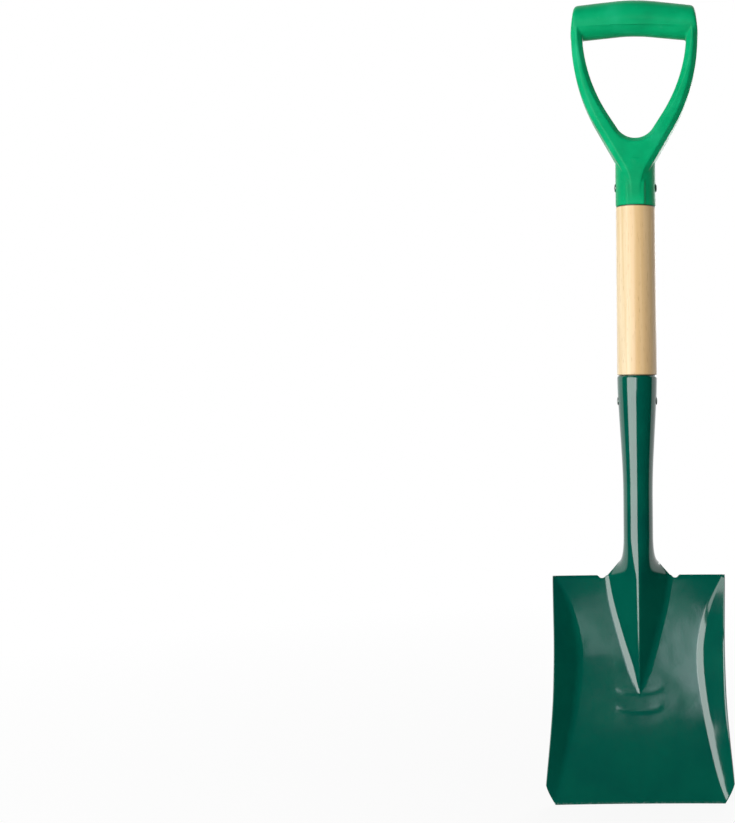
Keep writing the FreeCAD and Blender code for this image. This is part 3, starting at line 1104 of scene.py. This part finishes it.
@dataclass(frozen=True)
class MouldedGrip:
    """The D grip: collar with its raised land, yoke, arms and bar, in millimetres."""

    places: Places
    half_width: float = 55.6
    bar_radius: float = 15.5
    bar_end_slope: float = 6.0
    bar_bend_radius: float = 160.0
    bar_end_round: float = 3.2
    bar_end_steps: int = 8
    bar_end_lean: float = 0.125
    bar_lean_power: int = 3
    bar_end_share: float = 0.985
    bar_step: float = 2.5
    bar_around: int = 96
    arm_bevel: float = 4.2
    arm_bevel_turns: int = 0
    arm_top_inset: float = 1.3
    arm_half_depth: float = 12.5
    arm_foot_swell: float = 0.3
    arm_rise_start: float = 27.5
    arm_rise: float = 2.5
    land_half_width: float = 8.2
    land_bend_height: float = 23.8
    land_bend_radius: float = 40.0
    land_round: float = 1.1
    land_round_turns: int = 4
    land_flare: float = 9.0
    land_proud: float = 0.25
    land_length: float = 38.3
    land_full_share: float = 0.8
    yoke_slope: float = 60.0
    yoke_bend_radius: float = 160.0
    yoke_length: float = 42.0
    yoke_middle_share: float = 0.5
    yoke_middle_thinned: float = 0.52
    collar_radius: float = 17.7
    collar_length: float = 41.0
    collar_top_round: float = 1.8
    collar_top_steps: int = 6
    collar_lip_round: float = 1.3
    collar_lip_steps: int = 3
    collar_around: int = 128
    opening_half_width: float = 46.0
    opening_height: float = 92.0
    opening_slope: float = 57.5
    opening_crotch_radius: float = 18.2
    opening_side_radius: float = 140.0
    arc_step: float = 1.5
    bore_radius: float = 14.2
    bore_length: float = 36.0
    bore_margin: float = 4.0
    bore_around: int = 96
    skin_mm: float = 0.7
    skin_passes: int = 6
    skin_softness: float = 0.5
    sharp_degrees: float = 60.0

    def bar_axis(self, x: float) -> float:
        """The bar's axis, bent in the middle, with both ends sloping down.

        Args:
            x: Place across.

        Returns:
            The axis's height there.
        """
        slope = math.radians(self.bar_end_slope)
        bend_half = self.bar_bend_radius * math.sin(slope)
        high = self.places.top - self.bar_radius
        if abs(x) < bend_half:
            return high - (self.bar_bend_radius - math.sqrt(self.bar_bend_radius**2 - x * x))
        drop = self.bar_bend_radius * (1 - math.cos(slope))
        return high - drop - (abs(x) - bend_half) * math.tan(slope)

    def bend_z(self) -> float:
        """Height at which the sides of the land turn outwards into the yoke."""
        return self.places.grip_rim + self.land_bend_height

    def land_rise(self) -> float:
        """How far the land climbs the yoke until it has run out."""
        return self.land_flare * math.tan(math.radians(self.yoke_slope))

    def land_sunk(self, z: float) -> float:
        """How far the land has run down into the yoke at a height."""
        return self.arm_bevel * ease((z - self.bend_z() + self.land_flare) / self.land_rise())

    def half_depth(self, z: float) -> float:
        """Half the depth of land, yoke and arms from front to back.

        Args:
            z: Height.

        Returns:
            The half depth there.
        """
        rim, bar_ends = self.places.grip_rim, self.bar_axis(self.half_width)
        land, arm = self.collar_radius + self.land_proud, self.arm_half_depth
        stations = (
            rim,
            rim + self.land_full_share * self.land_length,
            rim + self.land_length + self.yoke_middle_share * self.yoke_length,
            rim + self.land_length + self.yoke_length,
            bar_ends - self.arm_rise_start,
            bar_ends,
        )
        middle = mix(land, arm, self.yoke_middle_thinned)
        values = (land, land, middle, arm + self.arm_foot_swell, arm, arm + self.arm_rise)
        return through(stations, values, z)

    def outline(self) -> list[Pair]:
        """Front outline of land, yoke and arms, closed at the top inside the bar.

        Returns:
            Its points across and up.
        """
        bend, bar_ends = self.bend_z(), self.bar_axis(self.half_width)
        across = self.half_width - self.land_half_width
        corners = [
            (self.land_half_width, self.places.grip_rim),
            (self.land_half_width, bend),
            (self.half_width, bend + across * math.tan(math.radians(self.yoke_slope))),
            (self.half_width, bar_ends - self.bar_radius / 2),
            (self.half_width - self.arm_top_inset, bar_ends),
        ]
        radii = (self.land_bend_radius, self.yoke_bend_radius, self.land_bend_radius)
        return mirrored(rounded_path(corners, radii, self.arc_step))

    def opening(self) -> list[Pair]:
        """Outline of the hand opening, closed at the top inside the bar.

        Returns:
            Its points across and up.
        """
        slope, half = math.radians(self.opening_slope), self.opening_half_width
        crotch = self.places.top - 2 * self.bar_radius - self.opening_height
        apex = crotch + self.opening_crotch_radius * (1 - 1 / math.cos(slope))
        bend = apex + half * math.tan(slope)
        top = self.bar_axis(self.half_width) - self.arm_bevel
        corners = [(-half, top), (-half, bend), (0.0, apex), (half, bend), (half, top)]
        radii = (self.opening_side_radius, self.opening_crotch_radius, self.opening_side_radius)
        return rounded_path(corners, radii, self.arc_step)

    def land(self) -> list[Pair]:
        """Outline of the raised land on the collar, running out in the yoke.

        Returns:
            Its points across and up.
        """
        half, flare = self.land_half_width, self.land_flare
        bend, rise = self.bend_z(), self.land_rise()
        corners = [(half, self.places.grip_rim), (half, bend), (half + flare / 2, bend + rise / 2)]
        side = rounded_path(corners, (self.land_bend_radius / 2,), self.arc_step)
        return mirrored([*side, (half + flare, bend + rise)])

    def slab(
        self,
        name: str,
        loops: Sequence[Sequence[Pair]],
        edge: float,
        turns: int,
        sunk: Callable[[float], float],
    ) -> Object:
        """A slab between front and back with worked edges, as deep as the grip at each height.

        Args:
            name: Name of the object.
            loops: Its outline and the outline of any opening.
            edge: Size of the bevel or rounding along its edges.
            turns: Facets of the rounding beyond a single bevel.
            sunk: How far it lies below the grip's full depth at a height.

        Returns:
            The slab.
        """
        depth = self.collar_radius + self.land_proud
        curve = bpy.data.curves.new(name, "CURVE")
        curve.dimensions = "2D"
        curve.fill_mode = "BOTH"
        for loop in loops:
            spline = curve.splines.new("POLY")
            spline.points.add(len(loop) - 1)
            for point, (x, z) in zip(spline.points, loop):
                point.co = (x, z, 0.0, 1.0)
            spline.use_cyclic_u = True
        curve.extrude = depth - edge
        curve.bevel_depth = edge
        curve.bevel_resolution = turns
        curve.offset = -edge
        drawn = bpy.data.objects.new(name, curve)
        bpy.context.scene.collection.objects.link(drawn)
        graph = bpy.context.evaluated_depsgraph_get()
        graph.update()
        flat = bpy.data.meshes.new_from_object(drawn.evaluated_get(graph))
        points = []
        for vertex in flat.vertices:
            x, z, y = vertex.co
            reach = self.half_depth(z) - sunk(z) - (depth - abs(y))
            points.append((x, self.places.shaft_y - math.copysign(reach, y), z))
        faces = [tuple(face.vertices) for face in flat.polygons]
        bpy.data.objects.remove(drawn)
        bpy.data.curves.remove(curve)
        bpy.data.meshes.remove(flat)
        return mesh_object(name, points, faces)

    def bar(self) -> Object:
        """The round hand bar with its softly rounded, slightly leaning ends.

        Returns:
            The bar, as a shell of its own.
        """
        end = self.half_width * self.bar_end_share
        edge = rounding(self.bar_end_round, self.bar_end_steps)
        ends = [(end - inward, self.bar_radius - cut) for inward, cut in edge]
        straight = spaced(ends[0][0], -ends[0][0], self.bar_step)[1:-1]
        rings = [*reversed(ends), *((x, self.bar_radius) for x in straight)]
        rings += [(-x, radius) for x, radius in ends]
        points: list[Point] = []
        for x, radius in rings:
            lean = -math.copysign(self.bar_end_lean, x) * ease(abs(x) / end) ** self.bar_lean_power
            for cos, sin in full_turn(self.bar_around):
                up = radius * sin
                y = self.places.shaft_y + radius * cos
                points.append((x + lean * up, y, self.bar_axis(x) + up))
        faces = wrapped(0, len(rings), self.bar_around)
        faces.append(tuple(range(self.bar_around)))
        faces.append(tuple(reversed(range(len(points) - self.bar_around, len(points)))))
        return mesh_object("bar", points, faces)

    def collar(self) -> Object:
        """The round collar that takes the shaft's spigot.

        Returns:
            The collar, as a shell of its own.
        """
        low, wide = self.places.grip_rim, self.collar_radius
        top = low + self.collar_length
        lip = rounding(self.collar_lip_round, self.collar_lip_steps)
        crown = rounding(self.collar_top_round, self.collar_top_steps)
        outline = [(wide - inward, low + up) for inward, up in lip]
        outline += [(wide - inward, top - down) for down, inward in crown]
        return turned("collar", outline, self.places.shaft_y, self.collar_around)

    def build(self, detail: Detail, finish: Material) -> Object:
        """Grow the shells into one moulded skin and bore the collar.

        Args:
            detail: How fine the skin is.
            finish: Its plastic.

        Returns:
            The piece.
        """
        arms, land = [self.outline(), self.opening()], [self.land()]
        shells = [
            self.slab("arms", arms, self.arm_bevel, self.arm_bevel_turns, lambda z: 0.0),
            self.slab("land", land, self.land_round, self.land_round_turns, self.land_sunk),
            self.bar(),
            self.collar(),
        ]
        points: list[Point] = []
        faces: list[Face] = []
        for shell in shells:
            start = len(points)
            points += [tuple(vertex.co / MM) for vertex in shell.data.vertices]
            faces += [tuple(start + k for k in face.vertices) for face in shell.data.polygons]
            bpy.data.objects.remove(shell)
        piece = mesh_object("moulded_d_grip", points, faces)
        voxel = self.skin_mm * detail.value * MM
        reshape(piece, "REMESH", mode="VOXEL", voxel_size=voxel, use_smooth_shade=True)
        reshape(piece, "SMOOTH", iterations=self.skin_passes, factor=self.skin_softness)
        settle(piece)
        ends = [
            (self.bore_radius, self.places.grip_rim + end)
            for end in (-self.bore_margin, self.bore_length)
        ]
        bore = turned("bore", ends, self.places.shaft_y, self.bore_around)
        reshape(piece, "BOOLEAN", operation="DIFFERENCE", solver="EXACT", object=bore)
        settle(piece)
        bpy.data.objects.remove(bore)
        piece.data.shade_smooth()
        return install(piece, "d_grip", finish, self.sharp_degrees)


@dataclass(frozen=True)
class Rivet:
    """A rivet driven across the tool, with a head on each side, in millimetres."""

    name: str
    node_name: str
    left_form: HeadForm
    right_form: HeadForm
    left_rise: float
    right_rise: float
    sunk: float = 0.5
    head_radius: float = 3.7
    head_steps: int = 8
    crown_radius: float = 0.02
    shank_radius: float = 2.5
    hollow_radius: float = 1.5
    hollow_share: float = 0.55
    hollow_lip_share: float = 1.2
    hollow_floor_share: float = 0.85
    around: int = 48
    sharp_degrees: float = 50.0

    def head(self, reach: float, rise: float, form: HeadForm) -> list[Pair]:
        """Rings of a head, from its rim inwards.

        Args:
            reach: How far its rim stands from the tool's middle.
            rise: How far it stands out beyond its rim.
            form: How it ends.

        Returns:
            Radius and distance from the middle of each ring.
        """
        turn = quarter_turn(self.head_steps)
        rings = [(self.head_radius * cos, reach + rise * sin) for sin, cos in turn]
        if form is HeadForm.DOMED:
            return rings[:-1] + [(self.crown_radius, reach + rise)]
        kept = [ring for ring in rings if ring[0] > self.hollow_radius * self.hollow_lip_share]
        floor = reach + rise * (1 - self.hollow_share)
        inner = self.hollow_radius * self.hollow_floor_share
        lip = (self.hollow_radius, kept[-1][1])
        return kept + [lip, (inner, floor), (self.crown_radius, floor)]

    def build(self, finish: Material) -> Object:
        """Make the rivet at its CAD node's place.

        Args:
            finish: Its plated steel.

        Returns:
            The piece.
        """
        low, high = (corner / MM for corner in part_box(self.node_name))
        centre_y, centre_z = (low.y + high.y) / 2, (low.z + high.z) / 2
        right, left = high.x - self.right_rise, -low.x - self.left_rise
        tail = self.head(left, self.left_rise, self.left_form)
        outline = [(radius, -x) for radius, x in reversed(tail)]
        outline += [(radius, self.sunk - left) for radius in (self.head_radius, self.shank_radius)]
        outline += [(radius, right - self.sunk) for radius in (self.shank_radius, self.head_radius)]
        outline += self.head(right, self.right_rise, self.right_form)
        piece = turned(self.name, outline, 0.0, self.around)
        for vertex in piece.data.vertices:
            x, y, z = vertex.co
            vertex.co = (z, y + centre_y * MM, centre_z * MM - x)
        piece.data.update()
        return install(piece, self.node_name, finish, self.sharp_degrees)


@dataclass(frozen=True)
class Panel:
    """A soft panel lamp, in metres and degrees, that faces a place on the tool."""

    name: str
    azimuth: float
    elevation: float
    distance: float
    size: Pair
    watts: float
    aim: Point = (0.0, 0.02, 0.35)
    colour: str = "#ffffff"

    def hang(self) -> Object:
        """Make the lamp, turned and raised away from the camera's side.

        Returns:
            The lamp.
        """
        data = bpy.data.lights.new(self.name, "AREA")
        data.shape = "RECTANGLE"
        data.size, data.size_y = self.size
        data.energy = self.watts
        data.color = linear(self.colour)[:3]
        lamp = bpy.data.objects.new(self.name, data)
        side, up = math.radians(self.azimuth), math.radians(self.elevation)
        level = math.cos(up)
        away = Vector((math.sin(side) * level, -math.cos(side) * level, math.sin(up)))
        lamp.location = Vector(self.aim) + away * self.distance
        lamp.rotation_mode = "QUATERNION"
        lamp.rotation_quaternion = away.to_track_quat("Z", "Y")
        bpy.context.scene.collection.objects.link(lamp)
        return lamp


@dataclass(frozen=True)
class Studio:
    """Camera, lamps, world and floor, in metres unless a name says otherwise."""

    picture_width_px: int = 735
    picture_height_px: int = 823
    sensor_mm: float = 36.0
    lens_mm: float = 55.87
    camera_distance: float = 1.13
    camera_height: float = 0.35
    camera_roll_degrees: float = 0.48
    axis_column_px: float = 637.2
    horizon_row_px: float = 396.6
    backdrop: str = "#ffffff"
    behind_span: Span = (0.04, 0.14, 0.0, 1.2)
    above_span: Span = (-0.5, -0.2, 0.0, 1.0)
    ambient: float = 0.17
    floor_colour: str = "#f2f2f0"
    floor_radius: float = 6.0
    floor_around: int = 64
    white_span: Span = (0.0, 1.1, 0.9, 1.0)
    soft_boxes: tuple[Panel, ...] = (
        Panel("left_soft_box", -33.5, -1.5, 1.7, (1.7, 1.05), 32.0),
        Panel("upper_left_soft_box", -44.0, 32.0, 1.7, (0.9, 0.75), 6.5),
        Panel("back_soft_box", 160.0, 24.0, 2.0, (1.4, 1.4), 16.0),
    )
    # Small lit cards beside the camera, which the leaning blade mirrors.
    cards: tuple[Panel, ...] = (
        Panel("left_card", 0.0, 0.0, 1.25, (0.2, 0.26), 0.48, (-0.115, 0.0, 0.41), "#ecf6ff"),
        Panel("right_card", 0.0, 0.0, 1.25, (0.022, 0.14), 0.02, (0.023, 0.0, 0.475), "#ecf6ff"),
    )

    def camera(self, shaft_y: float) -> None:
        """Set the camera level in front of the tool, with the tool right of the middle.

        Args:
            shaft_y: Where the shaft's axis stands, in millimetres.
        """
        data = bpy.data.cameras.new("camera")
        data.sensor_fit = "AUTO"
        data.sensor_width = self.sensor_mm
        data.lens = self.lens_mm
        long_side = max(self.picture_width_px, self.picture_height_px)
        data.shift_x = (self.picture_width_px / 2 - self.axis_column_px) / long_side
        data.shift_y = (self.horizon_row_px - self.picture_height_px / 2) / long_side
        holder = bpy.data.objects.new("camera", data)
        holder.location = (0.0, shaft_y * MM - self.camera_distance, self.camera_height)
        holder.rotation_euler = (math.pi / 2, math.radians(self.camera_roll_degrees), 0.0)
        bpy.context.scene.collection.objects.link(holder)
        bpy.context.scene.camera = holder

    def lamps(self, mirror: Object) -> None:
        """Soft boxes round the tool, and the cards, which light one piece alone.

        Args:
            mirror: The piece that mirrors the cards.
        """
        for soft_box in self.soft_boxes:
            soft_box.hang()
        mirrors = bpy.data.collections.new("mirrored_in_the_blade")
        mirrors.objects.link(mirror)
        for card in self.cards:
            card.hang().light_linking.receiver_collection = mirrors

    def world(self) -> None:
        """White for the camera, and for gloss white behind the tool and dark in front."""
        world = bpy.data.worlds.new("studio")
        bpy.context.scene.world = world
        world.use_nodes = True
        world.node_tree.nodes.clear()
        add = partial(add_node, world.node_tree)
        camera_ray = add("LightPath", out="Is Camera Ray")
        glossy_ray = add("LightPath", out="Is Glossy Ray")
        place = add("TexCoord", out="Generated")
        behind = add("MapRange", [add("SeparateXYZ", [place], "Y"), *self.behind_span])
        above = add("MapRange", [add("SeparateXYZ", [place], "Z"), *self.above_span])
        mirrored_white = add("Math", [behind, above], operation="MULTIPLY")
        soft = add("Mix", [glossy_ray, self.ambient, mirrored_white])
        strength = add("Math", [camera_ray, soft], operation="MAXIMUM")
        light = add("Background", {"Color": linear(self.backdrop), "Strength": strength})
        add("OutputWorld", [light])

    def floor(self) -> None:
        """A wide pale floor that is as white as the backdrop and keeps the tool's shadow."""
        reach, around = self.floor_radius / MM, self.floor_around
        rim = [(reach * cos, reach * sin, 0.0) for cos, sin in full_turn(around)]
        faces = [(0, 1 + k, 1 + (k + 1) % around) for k in range(around)]
        floor = mesh_object("studio_floor", [(0.0, 0.0, 0.0), *rim], faces)
        material, add = new_material("painted_studio_floor")
        distance = add("VectorMath", [add("TexCoord", out="Object")], operation="LENGTH")
        white = add("MapRange", [distance, *self.white_span])
        camera_ray = add("LightPath", out="Is Camera Ray")
        share = add("Math", [camera_ray, white], operation="MULTIPLY")
        lit = add("BsdfDiffuse", {"Color": linear(self.floor_colour)})
        bright = add("Emission", {"Color": linear(self.backdrop)})
        add("OutputMaterial", [add("MixShader", [share, lit, bright])])
        floor.data.materials.append(material)
        floor.visible_glossy = False

    def build(self, shaft_y: float, mirror: Object) -> None:
        """Set up the whole studio round the tool.

        Args:
            shaft_y: Where the shaft's axis stands, in millimetres.
            mirror: The glossy piece that mirrors the cards.
        """
        bpy.context.scene.view_settings.view_transform = "Standard"
        self.camera(shaft_y)
        self.lamps(mirror)
        self.world()
        self.floor()
        LOG.info("studio ready")


def main() -> None:
    """Build the spade's pieces and the studio, logging the height of each CAD node that a piece
    stands for.
    """
    logging.basicConfig(level=logging.INFO, format="%(name)s: %(message)s")
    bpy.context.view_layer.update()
    detail = Detail.FINE
    places = Places.from_frame()
    steel = ZincedSteel().material()
    blade = PressedSheet(places).build(detail, GlossEnamel().material())
    wood = VarnishedAsh((places.socket_top, places.grip_rim)).material()
    TurnedShaft(places).build(wood)
    MouldedGrip(places).build(detail, MouldedPolypropylene(places.shaft_y).material())
    domed, hollow = HeadForm.DOMED, HeadForm.HOLLOW
    Rivet("socket_rivet_heads", "socket_rivet", domed, domed, 0.9, 0.9).build(steel)
    Rivet("grip_rivet_heads", "grip_rivet", domed, hollow, 1.2, 1.6).build(steel)
    Studio().build(places.shaft_y, blade)


if __name__ == "__main__":
    main()
